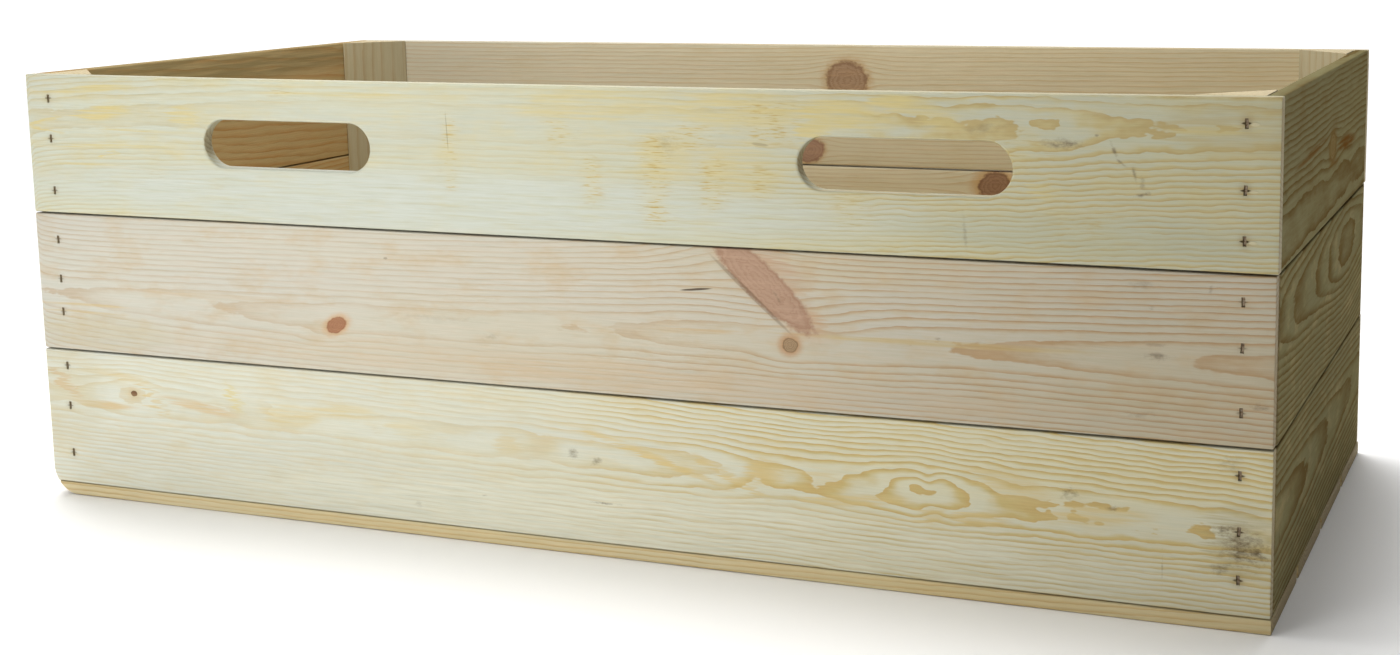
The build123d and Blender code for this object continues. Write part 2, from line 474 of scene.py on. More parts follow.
def swept(name, axes, middle, outline, low, high, ease):
    """A closed piece: an outline carried along axes[0] from low to high, its ends eased over a radius."""
    mesh = bmesh.new()
    stations = [(low + ease * (1 - cos(a)), ease * (1 - sin(a))) for a in np.linspace(0, pi / 2, 4)]
    stations += [(high - ease * (1 - cos(a)), ease * (1 - sin(a))) for a in np.linspace(pi / 2, 0, 4)]
    centre = sum(outline, Vector((0.0, 0.0))) / len(outline)
    rings = []
    for u, inset in stations:
        ring = []
        for place in outline:
            away = place - centre
            v, w = (p - inset * max(-1.0, min(1.0, d / (3 * ease))) for p, d in zip(place, away))
            point = [0.0, 0.0, 0.0]
            for axis, value in zip(axes, (u, middle[0] + v, middle[1] + w)):
                point[axis] = value
            ring.append(point)
        rings.append(ring)
    lofted(mesh, rings)
    return to_object(mesh, name)


def bend(piece, axes, steps, shape):
    """Cuts a piece's faces along a grid, so that it can bend, then moves each point to shape(u, v, w)."""
    mesh = bmesh.new()
    mesh.from_mesh(piece.data)
    bmesh.ops.remove_doubles(mesh, verts=mesh.verts, dist=0.002 * MM)
    bmesh.ops.triangulate(mesh, faces=[f for f in mesh.faces if len(f.verts) > 4])
    for axis, step in zip(axes, steps):
        values = [p.co[axis] for p in mesh.verts]
        low, high = min(values), max(values)
        count = int((high - low) / step)
        normal = [0.0, 0.0, 0.0]
        normal[axis] = 1.0
        for k in range(1, count):
            place = [0.0, 0.0, 0.0]
            place[axis] = low + (high - low) * k / count
            bmesh.ops.bisect_plane(mesh, geom=mesh.verts[:] + mesh.edges[:] + mesh.faces[:], dist=0.001 * MM,
                                   plane_co=place, plane_no=normal)
    for point in mesh.verts:
        moved = shape(*(point.co[axis] for axis in axes))
        for axis, value in zip(axes, moved):
            point.co[axis] = value
    bmesh.ops.recalc_face_normals(mesh, faces=mesh.faces)
    mesh.to_mesh(piece.data)
    mesh.free()


def to_object(mesh, name):
    data = bpy.data.meshes.new(name)
    mesh.to_mesh(data)
    mesh.free()
    found = bpy.data.objects.new(name, data)
    bpy.context.scene.collection.objects.link(found)
    return found


def lofted(mesh, rings):
    """Adds a closed solid through rings of equally many points to a bmesh."""
    made = [[mesh.verts.new(p) for p in ring] for ring in rings]
    size = len(made[0])
    faces = [mesh.faces.new(list(reversed(made[0]))), mesh.faces.new(made[-1])]
    for a, b in zip(made, made[1:]):
        faces += [mesh.faces.new((a[i], a[(i + 1) % size], b[(i + 1) % size], b[i])) for i in range(size)]
    bmesh.ops.recalc_face_normals(mesh, faces=faces)


def cut(piece, cutter):
    """Takes a cutter's shape out of a piece and removes the cutter."""
    modifier = piece.modifiers.new("cut", "BOOLEAN")
    modifier.operation = "DIFFERENCE"
    modifier.solver = "MANIFOLD"
    modifier.object = cutter
    bpy.context.view_layer.update()
    result = bpy.data.meshes.new_from_object(piece.evaluated_get(bpy.context.evaluated_depsgraph_get()))
    piece.modifiers.clear()
    piece.data = result
    bpy.data.objects.remove(cutter)


def soften(piece, degrees=40):
    piece.data.shade_smooth()
    piece.data.set_sharp_from_angle(angle=radians(degrees))


# ---------------------------------------------------------------- brads


def islands(node):
    """The boxes of the separate solids of a CAD node, as (lowest corner, highest corner)."""
    mesh = bmesh.new()
    mesh.from_mesh(frame["nodes"][node].data)
    bmesh.ops.remove_doubles(mesh, verts=mesh.verts, dist=0.01 * MM)
    left, boxes = set(mesh.verts), []
    while left:
        group, waiting = [], [left.pop()]
        while waiting:
            vertex = waiting.pop()
            group.append(vertex.co.copy())
            for edge in vertex.link_edges:
                other = edge.other_vert(vertex)
                if other in left:
                    left.remove(other)
                    waiting.append(other)
        points = np.array(group)
        boxes.append((points.min(0), points.max(0)))
    mesh.free()
    return sorted(boxes, key=lambda box: tuple(np.round(box[0], 5)))


BRAD_HEAD_DEPTH = 2.3 * MM  # from the plank's face to under the brad's head
MOUTH_FLARE = 0.35 * MM  # how much wider the torn mouth of a brad's slot is than its head
TEAR_LENGTH = 8.0 * MM
TEAR_WIDTH = 0.5 * MM
CLEAR = 1.0 * MM  # how far a cutter stands out of the face that it cuts
OWN_REACH = 30 * MM  # how far past a plank's box the middle of one of its own brads may lie


def brads_through(group, node):
    """The boxes of those brads of a group that go through a plank's outer face."""
    low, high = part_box(node)
    inside = []
    for brad in islands(group):
        centre = (brad[0] + brad[1]) / 2
        if sum(low[a] < centre[a] < high[a] for a in range(3)) >= 2 and all(
                low[a] - OWN_REACH < centre[a] < high[a] + OWN_REACH for a in range(3)):
            inside.append(brad)
    return inside


def brad_slots(brads, axes, outward, face, number_start=0):
    """A cutter for the slots that some brads were driven through. outward is -1 or 1 along axes[2]."""
    mesh = bmesh.new()
    for number, (low, high) in enumerate(brads):
        centre = (low + high) / 2
        half = (high - low) / 2
        u, v, w = axes
        jitter = noise.noise(Vector((number * 1.7 + number_start, 0.3, 0.8)))
        turn = radians(7) * jitter
        rings = []
        for out, flare in ((CLEAR, MOUTH_FLARE * 1.6), (0.0, MOUTH_FLARE), (-BRAD_HEAD_DEPTH, 0.02 * MM)):
            ring = []
            for su, sv in ((-1, -1), (1, -1), (1, 1), (-1, 1)):
                du, dv = su * (half[u] + flare * 0.7), sv * (half[v] + flare)
                point = [0.0, 0.0, 0.0]
                point[u] = centre[u] + du * cos(turn) - dv * sin(turn)
                point[v] = centre[v] + du * sin(turn) + dv * cos(turn)
                point[w] = face + outward * out
                ring.append(point)
            rings.append(ring)
        lofted(mesh, rings)
    return to_object(mesh, "slots")


def tears(brads, axes, outward, face):
    """A cutter for the short splits along the grain beside the slots."""
    mesh = bmesh.new()
    for number, (low, high) in enumerate(brads):
        jitter = noise.noise(Vector((number * 2.3, 5.1, 0.4)))
        if jitter < -0.12:
            continue
        centre = (low + high) / 2
        u, v, w = axes
        length = TEAR_LENGTH * (0.55 + 0.9 * abs(jitter))
        rings = []
        for out, scale in ((CLEAR, 1.5), (-0.7 * MM, 0.25)):
            ring = []
            for su, sv in ((-1, 0), (0, -1), (1, 0), (0, 1)):
                point = [0.0, 0.0, 0.0]
                point[u] = centre[u] + su * length / 2 * scale
                point[v] = centre[v] + jitter * 1.2 * MM + sv * TEAR_WIDTH * scale
                point[w] = face + outward * out
                ring.append(point)
            rings.append(ring)
        lofted(mesh, rings)
    return to_object(mesh, "tears")


# ---------------------------------------------------------------- pieces

UPRIGHT = (Z, X, Y)
BEND_STEPS = (10 * MM, 9 * MM)  # the grid that lets a piece bend, along and across it
END_EASE = 0.5 * MM


def wave(u, seed, rate=5.0):
    """Slow wavering along a plank, from 0 to 1."""
    return min(1.0, max(0.0, 0.5 + noise.noise(Vector((u * rate, seed, 0.0))) * 0.9))


def plank(node, axes, material, seed, cutters=(), dip=0.0, edge_waver=0.3 * MM, face_waver=0.25 * MM,
          radius=1.1 * MM):
    """A wall or floor plank in the place of a CAD node, a little uneven and always inside it."""
    low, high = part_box(node)
    u, v, w = axes
    middle = ((low[v] + high[v]) / 2, (low[w] + high[w]) / 2)
    half_v, half_w = (high[v] - low[v]) / 2, (high[w] - low[w]) / 2
    corners = [(-half_v, -half_w), (half_v, -half_w), (half_v, half_w), (-half_v, half_w)]
    piece = swept(f"{node}_wood", axes, middle, rounded(corners, radius), low[u], high[u], END_EASE)
    for cutter in cutters:
        cut(piece, cutter)

    def shape(along, across, through):
        share = (across - middle[0]) / half_v
        top = edge_waver * wave(along, seed) + dip * (1 - (2 * along / LENGTH) ** 2)
        bottom = edge_waver * wave(along, seed + 9.0)
        across -= top * max(0.0, share) - bottom * max(0.0, -share)
        side = (through - middle[1]) / half_w
        lift = face_waver * wave(along + across * 1.5, seed + (4.0 if side > 0 else 6.0), 8.0)
        return along, across, through - lift * side

    bend(piece, axes, BEND_STEPS, shape)
    piece.data.materials.clear()
    piece.data.materials.append(material)
    soften(piece)
    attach(piece, "root")
    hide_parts(node)
    return piece


POST_SHORT = 0.3 * MM  # how much shorter a post's legs are than the CAD's


def post(node, material, seed):
    """A triangular corner post in the place of a CAD node."""
    low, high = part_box(node)
    side_x = 1 if low.x > 0 else -1
    side_y = 1 if low.y > 0 else -1
    corner = (high.x if side_x > 0 else low.x, high.y if side_y > 0 else low.y)
    leg = high.x - low.x
    gap, tip = 0.25 * MM, 1.2 * MM
    reach = leg - POST_SHORT
    near = [(gap, gap), (reach, gap), (reach, tip), (tip, reach), (gap, reach)]
    corners = [(-side_x * a, -side_y * b) for a, b in near]
    if side_x * side_y < 0:
        corners.reverse()
    outline = rounded(corners, 0.35 * MM, 2)
    piece = swept(f"{node}_wood", UPRIGHT, corner, outline, low.z, high.z - 0.2 * MM, 0.3 * MM)

    def shape(along, across, through):
        sway = 0.2 * MM * wave(along, seed, 9.0)
        return along, across - side_x * sway, through - side_y * sway

    bend(piece, UPRIGHT, BEND_STEPS, shape)
    piece.data.materials.clear()
    piece.data.materials.append(material)
    soften(piece)
    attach(piece, "root")
    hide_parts(node)
    return piece


HOLE_RADIUS = 15 * MM
HOLE_HALF = 46 * MM  # from a hand hole's middle to the centres of its round ends
HOLE_X = 200 * MM
HOLE_BELOW_RIM = 41 * MM
LIP = 1.6 * MM  # the rounding of the hand holes' edges


def hand_holes(front, back, rim):
    """A cutter for the two hand holes, flared at both faces so that their edges come out rounded."""
    mesh = bmesh.new()
    levels = [(front - CLEAR, LIP)]
    levels += [(front + LIP * (1 - cos(a)), LIP * (1 - sin(a))) for a in np.linspace(0, pi / 2, 7)]
    levels += [(back - LIP * (1 - cos(a)), LIP * (1 - sin(a))) for a in np.linspace(pi / 2, 0, 7)]
    levels += [(back + CLEAR, LIP)]
    for middle in (-HOLE_X, HOLE_X):
        rings = []
        for y, flare in levels:
            ring = []
            for side in (1, -1):
                for a in np.linspace(-pi / 2, pi / 2, 25):
                    ring.append((
                        middle + side * (HOLE_HALF + (HOLE_RADIUS + flare) * cos(a)),
                        y,
                        rim - HOLE_BELOW_RIM + side * (HOLE_RADIUS + flare) * sin(a),
                    ))
            rings.append(ring)
        lofted(mesh, rings)
    return to_object(mesh, "holes")


CORNER = 20 * MM  # radius of the worn front left bottom corner
CORNER_DEPTH = 40 * MM  # how far back the wear fades out under the floor
CORNER_KEPT = 0.25  # the share of that depth over which the radius stays whole
CORNER_LOST = 0.93  # the share of the radius that is gone at its end


def worn_corner(left, front):
    """A cutter for the rounded corner, whose radius fades out towards the back."""
    mesh = bmesh.new()
    rings = []
    for step in range(10):
        share = step / 9
        y = front - CLEAR + share * (CORNER_DEPTH + CLEAR)
        radius = CORNER * (1 - CORNER_LOST * max(0.0, share - CORNER_KEPT) / (1 - CORNER_KEPT))
        out = 2 * MM
        ring = [(left - out, y, -out), (left + radius, y, -out)]
        for a in np.linspace(pi / 2, 0, 13):
            ring.append((left + radius * (1 - cos(a)), y, radius * (1 - sin(a))))
        ring.append((left - out, y, radius))
        rings.append(ring)
    lofted(mesh, rings)
    return to_object(mesh, "corner")


# ---------------------------------------------------------------- the planks' wood

# shade=0.82 and 0.89 on the front planks is painted shade: each plank darkens towards its right-hand end.
FRONT_TOP = Wood(
    seed=1.0, pale=(209, 212, 194), pale_far=(203, 200, 168), late=(200, 185, 136), deep=(184, 160, 106),
    shade=0.82, ridge=((-400, 246), (-250, 256), (0, 256), (200, 258), (330, 262), (400, 263)), flat=3,
    pith=16, growth=2.7,
    rise=((-400, 0.62), (-364, 0.8), (-200, 0.5), (0, 0.2), (200, 0.6), (334, 1.9), (400, 2.4)), bulge=0.3,
    waves=((-400, 0.2), (-100, 0.3), (140, 0.8), (230, 1.3), (330, 1.2), (400, 0.9)),
    lines=((-400, 0.5), (-250, 0.4), (-100, 0.25), (50, 0.45), (160, 0.8), (250, 1.25), (400, 1.6)),
    late_from=0.35, streaks=0.6, mottle=0.5, rough=1.0, patch=(212, 196, 138), dash=(190, 164, 100),
    patches=(
        (-100, 208, 330, 20, 0.75, 0.0, (204, 210, 202)), (300, 205, 110, 12, 0.5, 0.0, (186, 190, 168)),
        (384, 262, 44, 15, 0.5, 0.0, (186, 168, 118)), (-344, 271, 34, 2.4, 0.8, 0.05),
        (-338, 256, 22, 5.5, 0.9, 0.1), (-386, 250, 15, 1.4, 0.8, 0.25), (-386, 244, 15, 1.2, 0.8, -0.2),
        (-275, 254, 13, 7.5, 0.7, 0.2), (-335, 234, 48, 1.2, 0.8, 0.02), (-335, 229, 4, 3.0, 0.8, 0.0),
        (-360, 222, 40, 0.9, 0.6, 0.0), (-300, 245, 40, 1.0, 0.6, 0.0), (-150, 270, 60, 2.0, 0.5, 0.0),
        (-180, 250, 30, 3.0, 0.4, 0.0), (20, 268, 60, 10.0, 0.5, 0.0), (110, 268, 46, 10.0, 0.65, 0.0),
        (168, 266, 30, 9.0, 0.9, -0.1), (150, 258, 10, 10.0, 0.8, 0.5), (197, 275, 15, 3.5, 0.9, 0.0),
        (60, 240, 20, 16.0, 0.4, 0.0), (110, 235, 24, 18.0, 0.4, 0.0), (215, 268, 22, 6.0, 0.7, -0.3),
        (370, 262, 26, 3.0, 0.6, 0.05), (278, 228, 10, 4.0, 0.6, -0.4),
    ),
    dashes=(
        (-83, 211, 264, 5, 0.7), (-10, 240, 266, 9, 0.8), (12, 206, 243, 6, 0.9), (52, 197, 256, 8, 1.1),
        (75, 240, 262, 12, 0.9), (88, 206, 243, 8, 1.1), (122, 244, 277, 16, 1.0), (117, 214, 240, 9, 0.8),
        (-150, 225, 240, 8, 0.6), (-300, 212, 222, 9, 0.6), (-252, 208, 220, 6, 0.5),
        (170, 200, 232, 10, 0.6), (-200, 262, 278, 12, 0.5), (265, 236, 262, 16, 0.6),
        (300, 200, 224, 20, 0.5),
    ),
    marks=(
        (289, 253, 15, 3.5, 0.75, 0.0), (306, 258, 1.6, 1.2, 1.0, 0.0), (315, 251, 5, 1.4, 0.8, -1.2),
        (319, 244, 4, 1.2, 0.7, -0.6), (326, 238, 6, 1.3, 0.7, -1.3), (331, 228, 6, 1.6, 0.8, 0.2),
        (330, 234, 2, 5.0, 0.5, 0.0), (60, 246, 10, 8.0, 0.25, 0.0), (245, 260, 14, 4.0, 0.35, 0.1),
        (235, 204, 1.5, 14, 0.35, 0.1),
    ),
    slits=((-84, 250, 0.35, 12.5, 0.3, 0.04), (117, 248, 5.5, 0.9, 0.25, -0.1)),
)
FRONT_MIDDLE = Wood(
    seed=2.0, pale=(211, 209, 196), pale_far=(200, 188, 160), late=(192, 168, 132), deep=(178, 142, 100),
    shade=0.82, grey=(203, 200, 190), ridge=((-400, 141), (-170, 133), (30, 137.5), (140, 140), (400, 142)),
    flat=2, pith=13, growth=3.0,
    rise=(
        (-400, 2.04), (-381, 1.97), (-330, 1.55), (-300, 1.3), (-255, 0.97), (-200, 0.6), (-100, 0.3),
        (29, -0.03), (60, -0.4), (90, -0.6), (140, -0.8), (235, -1.03), (300, -1.5), (400, -2.3),
    ),
    bulge=0.12, lines=((-400, 0.5), (-100, 0.4), (150, 0.8), (400, 1.2)), late_from=0.45, streaks=0.25,
    mottle=0.5, rough=0.5, patch=(200, 168, 118),
    knots=(
        Knot(
            -169, 128.5, 8.0, 4.8, 0.42, (170, 124, 94), (148, 102, 74), (204, 164, 120), reach=1.7,
            glow=0.8, parting=0.9,
        ),
        Knot(
            116, 171, 42, 10.5, -0.72, (186, 154, 130), (162, 126, 102), (198, 170, 140), reach=0.9,
            glow=0.6, parting=0.5,
        ),
        Knot(133, 136, 4.8, 4.4, 0.2, (172, 146, 114), (118, 90, 64), (190, 144, 98), reach=2.4, glow=0.8),
    ),
    patches=(
        (-362, 129, 40, 1.0, 0.6, -0.01, (206, 184, 134)),
        (-362, 124, 34, 0.9, 0.5, -0.01, (206, 184, 134)), (220, 143, 90, 2.0, 0.6, 0.0, (200, 176, 120)),
        (-250, 141, 60, 2.5, 0.3, 0.02), (75, 140, 30, 2.0, 0.5, 0.05),
        (-350, 112, 60, 12, 0.35, 0.0, (196, 184, 140)), (122, 182, 22, 8, 0.7, -0.7, (196, 160, 132)),
        (146, 150, 10, 8, 0.6, -0.4, (196, 156, 114)), (142, 172, 8, 10, 0.4, 0.0, (196, 164, 128)),
        (-100, 112, 200, 10, 0.35, 0.0, (206, 186, 156)), (100, 110, 200, 9, 0.4, 0.0, (204, 180, 146)),
    ),
    marks=(
        (339, 144, 8, 3.0, 0.7, 0.0), (338, 150, 9, 1.5, 0.4, 0.0), (220, 145, 2.6, 1.3, 0.7, 0.0),
        (-60, 128, 8, 3.0, 0.25, 0.0), (-100, 137, 40, 3.0, 0.15, 0.0), (330, 181, 9, 3.0, 0.35, 0.0),
        (366, 181, 1.4, 4.0, 0.5, -0.2), (336, 169, 2.0, 1.6, 0.5, 0.0), (330, 112, 9, 2.5, 0.35, 0.1),
        (392, 121, 7, 2.5, 0.6, 0.0), (126, 162, 1.2, 6.0, 0.8, 0.5),
    ),
    slits=(
        (76, 164.5, 10.5, 0.7, 0.85, 0.10), (-131, 172, 1.6, 0.8, 0.3, 0.0),
        (109.5, 163.6, 34, 1.5, 0.34, -0.72),
    ),
)
FRONT_BOTTOM = Wood(
    seed=3.0, pale=(224, 226, 213), pale_far=(222, 216, 182), late=(208, 188, 130), deep=(204, 172, 110),
    shade=0.89, ridge=((-400, 70), (-200, 66), (0, 62), (200, 58), (400, 54)), flat=3, pith=13, growth=2.7,
    rise=(
        (-400, 0.6), (-340, 0.4), (-200, 0.45), (-80, 0.42), (0, 0.45), (83, 0.97), (129, 1.5), (170, 1.3),
        (214, 1.0), (260, 1.5), (330, 1.9), (400, 2.4),
    ),
    bulge=0.6, waves=((-400, 0.3), (150, 0.4), (260, 0.8), (400, 0.6)),
    lines=((-400, 0.5), (-200, 0.32), (-60, 0.4), (60, 0.9), (150, 1.1), (400, 1.5)), late_from=0.3,
    streaks=0.3, mottle=0.35, rough=0.9, patch=(216, 194, 138), grey=(206, 210, 206), mark=(112, 96, 70),
    knots=(
        Knot(
            -329, 73, 2.6, 2.0, 0.0, (130, 96, 70), (96, 66, 46), (210, 184, 134), reach=5.0, glow=0.5,
            parting=0.6,
        ),
    ),
    bumps=(
        (-376, 72, 16, 8, 0.45), (-329, 73, 24, 13, -0.6), (-272, 69, 24, 3.5, 0.5),
        (-213, 68, 16, 10, 0.5), (-178, 72, 30, 4, 0.45), (-95, 68, 15, 3, 0.4), (-30, 65, 14, 8, 0.5),
        (112, 60, 10, 8, 0.6), (151, 62, 14, 7, 0.5), (185, 61, 9, 3, 0.4), (214, 60, 18, 22, -0.9),
        (214, 67, 5, 6, 0.8), (217, 47, 8, 7, 0.9), (244, 46, 14, 5, 0.55), (262, 66, 26, 8, 0.5),
        (316, 56, 28, 4, 0.5),
    ),
    patches=(
        (-384, 76, 16, 4, 0.9, -0.75, (212, 182, 140)), (-352, 63, 26, 3, 0.8, 0.0, (214, 188, 140)),
        (-312, 70, 16, 3, 0.7, -0.9), (-346, 84, 30, 3, 0.5, -0.1),
        (-275, 68, 30, 3.5, 0.8, -0.12, (216, 192, 150)), (-249, 76, 4, 10, 0.8, 0.35, (220, 206, 150)),
        (-205, 68, 22, 8, 0.6, 0.0, (220, 202, 150)), (-165, 74, 26, 5, 0.6, 0.05, (220, 202, 150)),
        (-120, 66, 16, 5, 0.5, 0.0, (220, 204, 154)), (-50, 64, 10, 7, 0.5, 0.3),
        (40, 67, 44, 2.6, 0.8, -0.28), (60, 60, 40, 2.4, 0.7, -0.3), (95, 57, 30, 2.6, 0.8, -0.45),
        (118, 62, 12, 8, 0.7, 0.0), (170, 50, 34, 3.5, 0.7, 0.1), (244, 47, 16, 5, 0.7, 0.1),
        (310, 55, 30, 5, 0.7, 0.1), (112, 60, 10, 7, 0.5, 0.0), (262, 66, 24, 8, 0.6, -0.2),
        (217, 46, 9, 6, 0.6, 0.2), (151, 62, 12, 5, 0.45, 0.0),
        (384, 48, 18, 22, 0.5, 0.0, (170, 156, 114)), (-385, 70, 34, 40, 0.45, 0.0, (202, 194, 162)),
        # The last patch is painted light: a pale band along the plank's lower part, against the light falling
        # off towards the floor.
        (60, 20, 340, 24, 0.55, 0.0, (232, 232, 214)),
    ),
    marks=(
        (-6, 62, 5, 4.5, 0.6, 0.5), (9, 58, 5, 3, 0.6, 0.3), (13, 33, 12, 0.9, 0.7, 0.0),
        (-68, 30, 2.5, 0.8, 0.6, 0.0), (293, 66, 7, 4.0, 0.65, 0.2), (316, 60, 5, 2.2, 0.5, 0.0),
        (384, 46, 15, 13, 0.9, 0.0), (375, 54, 8, 4, 0.8, 0.0), (393, 42, 5, 9, 0.8, 0.0),
        (343, 30, 0.8, 12, 0.4, 0.0), (373, 33, 7, 4, 0.6, 0.0), (378, 90, 9, 6, 0.3, 0.0),
        (-115, 20, 4, 3, 0.3, 0.0),
    ),
)
# outside=0.74 is painted shade: it darkens the back planks' outer face beside their inner one.
BACK = dict(
    pale=(230, 222, 200), pale_far=(226, 212, 176), late=(206, 178, 132), deep=(200, 162, 112), streaks=0.3,
    mottle=0.25, lines=((-400, 0.45), (400, 0.6)), flat=4, outside=0.74,
)
BACK_TOP = Wood(
    seed=4.0, ridge=((-400, 232), (400, 238)), pith=18, growth=3.0,
    rise=((-400, 0.3), (0, 0.9), (400, 0.2)),
    knots=(
        Knot(
            27, 253, 17, 15, 0.0, (178, 148, 120), (134, 102, 76), (200, 160, 110), reach=0.9, outer=False,
        ),
        Knot(-3, 200, 12, 9, 0.3, (180, 146, 124), (152, 116, 96), (204, 168, 124), reach=0.9, outer=False),
        Knot(-240, 214, 9, 6, 0.3, (160, 120, 90), (126, 90, 66), (206, 168, 120), reach=1.8),
    ),
    **BACK,
)
BACK_MIDDLE = Wood(
    seed=4.4, ridge=((-400, 120), (400, 128)), pith=22, growth=3.0,
    rise=((-400, 0.9), (100, 0.1), (400, 0.8)),
    knots=(
        Knot(141, 178, 13, 11, 0.2, (164, 128, 100), (124, 90, 68), (206, 164, 110), reach=1.8, glow=0.9),
        Knot(-110, 150, 5, 4, 0.0, (150, 106, 78), (104, 70, 50), (200, 156, 108), reach=2.0),
    ),
    **BACK,
)
BACK_BOTTOM = Wood(
    seed=4.8, ridge=((-400, 40), (400, 58)), pith=16, growth=2.6,
    rise=((-400, 0.2), (-100, 1.4), (400, 0.6)), bulge=0.4,
    knots=(Knot(262, 60, 8, 6, 0.3, (160, 112, 82), (120, 78, 54), (200, 158, 110), reach=1.8),), **BACK,
)

# The right end's dark olive colours are painted shade, as that end faces away from the light; the left end
# takes these settings with colours of its own.
END = dict(
    pale=(143, 136, 99), pale_far=(137, 128, 90), late=(110, 90, 52), deep=(100, 76, 38), gloss=0.0,
    streaks=0.45, mottle=0.35, grey=(132, 127, 98), rough=1.0, late_from=0.3,
    lines=((-400, 0.85), (400, 0.85)),
)
RIGHT_TOP = Wood(
    seed=5.0, ridge=((-190, 205), (190, 208)), flat=5, pith=20, growth=3.4, rise=((-190, 0.4), (190, 0.9)),
    bulge=0.3,
    knots=(Knot(11, 233, 15, 9, 0.0, (138, 118, 76), (104, 76, 40), (122, 96, 54), reach=1.2, glow=0.8),),
    patches=((75, 228, 52, 4.5, 1.0, -0.03), (-70, 240, 60, 2.5, 0.7, 0.03), (20, 221, 20, 3, 0.7, 0.0)),
    patch=(112, 78, 36), **END,
)
RIGHT_MIDDLE = Wood(
    seed=5.3, ridge=((-190, 163), (60, 163), (190, 165)), flat=12, pith=12, growth=3.4, bulge=0.12,
    rise=(
        (-190, 4.1), (-180, 3.9), (-130, 2.95), (-50, 1.93), (6, 0.93), (58, -0.07), (96, -0.4),
        (128, -0.07), (190, 0.9),
    ),
    marks=((64, 184, 5, 3, 0.8, 0.0),), **END,
)
RIGHT_BOTTOM = Wood(
    seed=5.6, ridge=((-190, 57), (190, 60)), flat=10, pith=12, growth=3.4, bulge=0.15,
    rise=((-190, 0.1), (-76, 0.93), (13, 1.93), (128, 2.93), (190, 3.4)), **END,
)
# outside=0.8 is painted shade: it darkens the left end's outer face beside its inner one.
LEFT_END = dict(
    END, pale=(210, 186, 138), pale_far=(206, 178, 128), late=(194, 148, 90), deep=(186, 132, 74),
    grey=(196, 180, 142), outside=0.8, lines=((-400, 0.7), (400, 0.7)),
)
LEFT_TOP = Wood(
    seed=6.0, ridge=((-190, 262), (190, 240)), flat=6, pith=9, growth=6.0, bulge=0.5,
    rise=((-190, 0.2), (-40, 1.2), (60, 0.9), (190, 1.9)),
    patches=((0, 272, 200, 14, 0.7, 0.0, (146, 136, 98)),), **LEFT_END,
)
LEFT_MIDDLE = Wood(
    seed=6.3, ridge=((-190, 140), (190, 150)), pith=20, growth=3.2, bulge=0.25,
    rise=((-190, 1.4), (190, 0.2)),
    knots=(Knot(-60, 150, 9, 7, 0.2, (140, 96, 64), (100, 64, 42), (170, 120, 70), reach=2.0),), **LEFT_END,
)
LEFT_BOTTOM = Wood(
    seed=6.6, ridge=((-190, 66), (190, 50)), pith=12, growth=3.2, bulge=0.3, rise=((-190, 0.3), (190, 2.4)),
    **LEFT_END,
)

# edge=1.42 is painted light: it brightens the floor planks' narrow edges beside their faces.
FLOOR = dict(
    pale=(192, 179, 144), pale_far=(184, 168, 126), late=(178, 154, 108), deep=(168, 138, 90), streaks=0.4,
    edge=1.42, mottle=0.2, rough=0.8, growth=3.0, late_from=0.4,
)
FLOOR_WOODS = {
    "front": Wood(
        seed=7.0, ridge=((-400, -205), (400, -170)), pith=22, rise=((-400, 0.3), (400, 1.8)), **FLOOR,
    ),
    "front_middle": Wood(
        seed=7.3, ridge=((-400, -40), (400, -52)), pith=30, rise=((-400, 0.1), (400, 0.9)),
        knots=(Knot(-180, -60, 8, 6, 0.2),), **FLOOR,
    ),
    "back_middle": Wood(
        seed=7.6, ridge=((-400, 60), (400, 40)), pith=20, rise=((-400, 1.3), (400, 0.2)),
        knots=(Knot(230, 30, 7, 6, 0.1),), **FLOOR,
    ),
    "back": Wood(
        seed=7.9, ridge=((-400, 130), (400, 150)), pith=26, rise=((-400, 0.6), (400, 1.1)),
        knots=(Knot(-40, 160, 10, 7, -0.2),), **FLOOR,
    ),
}
POST = Wood(
    seed=8.0, pale=(212, 202, 170), pale_far=(210, 198, 164), late=(182, 156, 112),
    ridge=((0, 0), (280, 0)), pith=40, growth=3.4, rise=((0, 0.2), (280, 0.8)), streaks=0.3,
    lines=((-400, 0.4), (400, 0.4)),
)


# ---------------------------------------------------------------- the crate

LONG = (X, Z, Y)  # axes along, across and through a front or back plank
SHORT = (Y, Z, X)
FLAT = (X, Y, Z)
WALLS = (
    ("front", LONG, -1, "front_wall_brads", (FRONT_BOTTOM, FRONT_MIDDLE, FRONT_TOP)),
    ("back", LONG, 1, "back_wall_brads", (BACK_BOTTOM, BACK_MIDDLE, BACK_TOP)),
    ("left_end", SHORT, -1, "left_end_brads", (LEFT_BOTTOM, LEFT_MIDDLE, LEFT_TOP)),
    ("right_end", SHORT, 1, "right_end_brads", (RIGHT_BOTTOM, RIGHT_MIDDLE, RIGHT_TOP)),
)
# How torn the wood is at the front's left brads and at its right ones
TORN = {"top": (0.45, 1.0), "middle": (0.2, 0.3), "bottom": (0.35, 0.8)}
RIM_DIP = 1.1 * MM  # how far the front rim sags in its middle

for name, axes, side, group, woods in WALLS:
    for number, (level, wood) in enumerate(zip(LEVELS, woods)):
        node = f"{name}_plank_{level}"
        low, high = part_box(node)
        face = high[axes[2]] if side > 0 else low[axes[2]]
        brads = brads_through(group, node)
        cutters = [brad_slots(brads, axes, side, face)]
        torn = TORN[level] if name == "front" else ()
        nailed = [((a + b)[axes[0]] / 2 / MM, (a + b)[axes[1]] / 2 / MM, torn[int((a + b)[axes[0]] > 0)])
                  for a, b in brads if torn]
        if name == "front":
            cutters.append(tears(brads, axes, side, face))
        if node == "front_plank_top":
            cutters.append(hand_holes(low.y, high.y, high.z))
        if node == "front_plank_bottom":
            cutters.append(worn_corner(low.x, low.y))
        look = pine(f"{node}_look", axes, face, -side, wood, nailed)
        dip = RIM_DIP if node == "front_plank_top" else 0.0
        plank(node, axes, look, number * 3.1 + len(name), cutters, dip=dip)

